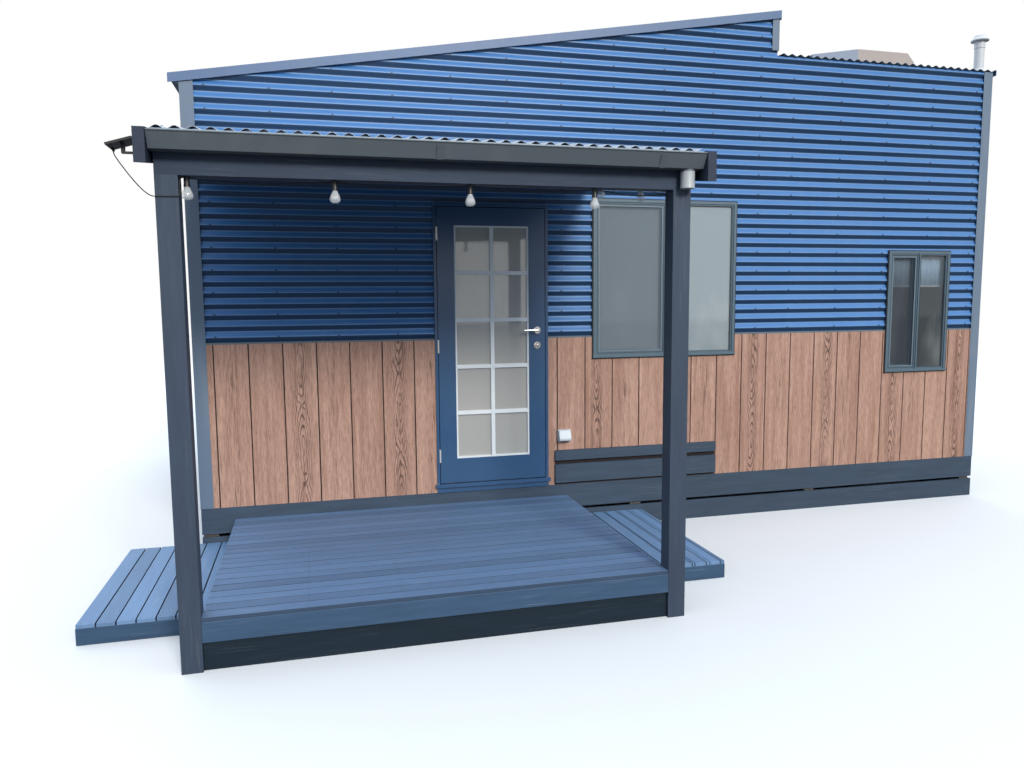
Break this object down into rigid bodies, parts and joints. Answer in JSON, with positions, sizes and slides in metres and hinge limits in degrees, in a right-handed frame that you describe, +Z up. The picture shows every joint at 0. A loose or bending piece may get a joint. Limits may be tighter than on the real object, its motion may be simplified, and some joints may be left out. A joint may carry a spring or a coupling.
{
  "type": "garden office pod",
  "caption": "Garden office pod with blue corrugated walls, timber-look panels, a stepped roof, a glazed door that opens and a lean-to veranda over a low deck",
  "frame": {"origin": "on the ground, under the middle of the cabin without its veranda, at the foot of the middle stump", "axes": "+Z up; the front with the door and the veranda faces -Y; +X to the right seen from the front"},
  "size_m": [7.0274, 6.176, 4.0455],
  "materials": {
    "cladding_blue": "factory-painted corrugated steel",
    "trim_grey": "folded painted steel",
    "roof_grey": "factory-painted corrugated steel",
    "gutter_grey": "roll-formed painted steel",
    "panel_timber": "stained, with a rough grain",
    "dark_timber": "painted sawn timber",
    "deck_timber": "painted, worn on the edges",
    "raw_timber": "sawn, unfinished",
    "lining": "painted wall lining",
    "floor_sheet": "sealed",
    "aluminium_grey": "powder coated",
    "clear_glass": "clear, 5 mm",
    "door_paint": "painted, semi-gloss",
    "bar_cream": "painted",
    "bright_metal": "polished",
    "white_plastic": "moulded",
    "vent_steel": "pale coated steel",
    "black_plastic": "moulded",
    "cable_rubber": "matt flex",
    "bulb_glass": "clear bulbs in black holders"
  },
  "bodies": {
    "pod": {"stumps": "raw_timber", "floor_frame": "raw_timber", "floor_panel": "floor_sheet", "front_wall_left": "lining", "front_wall_over_door": "lining", "front_wall_right": "lining", "side_walls": "lining", "back_wall": "lining", "step_wall": "lining", "roof_slabs": "lining", "front_cladding": "cladding_blue", "side_cladding": "cladding_blue", "timber_panels": "panel_timber", "panel_flashing": "gutter_grey", "corner_trims": "trim_grey", "base_boards": "dark_timber", "roof_sheets": "roof_grey", "roof_caps": "trim_grey", "eave_gutters": "trim_grey", "roof_box": "roof_grey", "vent_pipe": "vent_steel", "window_frames": "aluminium_grey", "window_glass": "clear_glass", "door_frame": "door_paint", "hinge_pins": "bright_metal", "power_outlet": "white_plastic", "veranda_posts": "dark_timber", "veranda_beam": "dark_timber", "veranda_rafters": "dark_timber", "veranda_battens": "dark_timber", "veranda_sheet": "roof_grey", "veranda_barges": "dark_timber", "veranda_gutter": "gutter_grey", "deck_frame": "dark_timber", "deck_top": "deck_timber", "deck_fascia": "deck_timber", "solar_panel": "black_plastic", "string_lamps": "bulb_glass", "string_cable": "cable_rubber", "panel_lead": "cable_rubber"},
    "door": {"door_leaf": "door_paint", "door_glass": "clear_glass", "door_bars": "bar_cream", "door_handles": "bright_metal", "hinge_plates": "bright_metal"}
  },
  "joints": [
    {"name": "door_hinge", "type": "hinge", "parent": "pod", "child": "door", "pos_m": [-1.5805, -2.1155, 1.431], "axis": [0, 0, -1], "range_deg": [0, 110]}
  ]
}
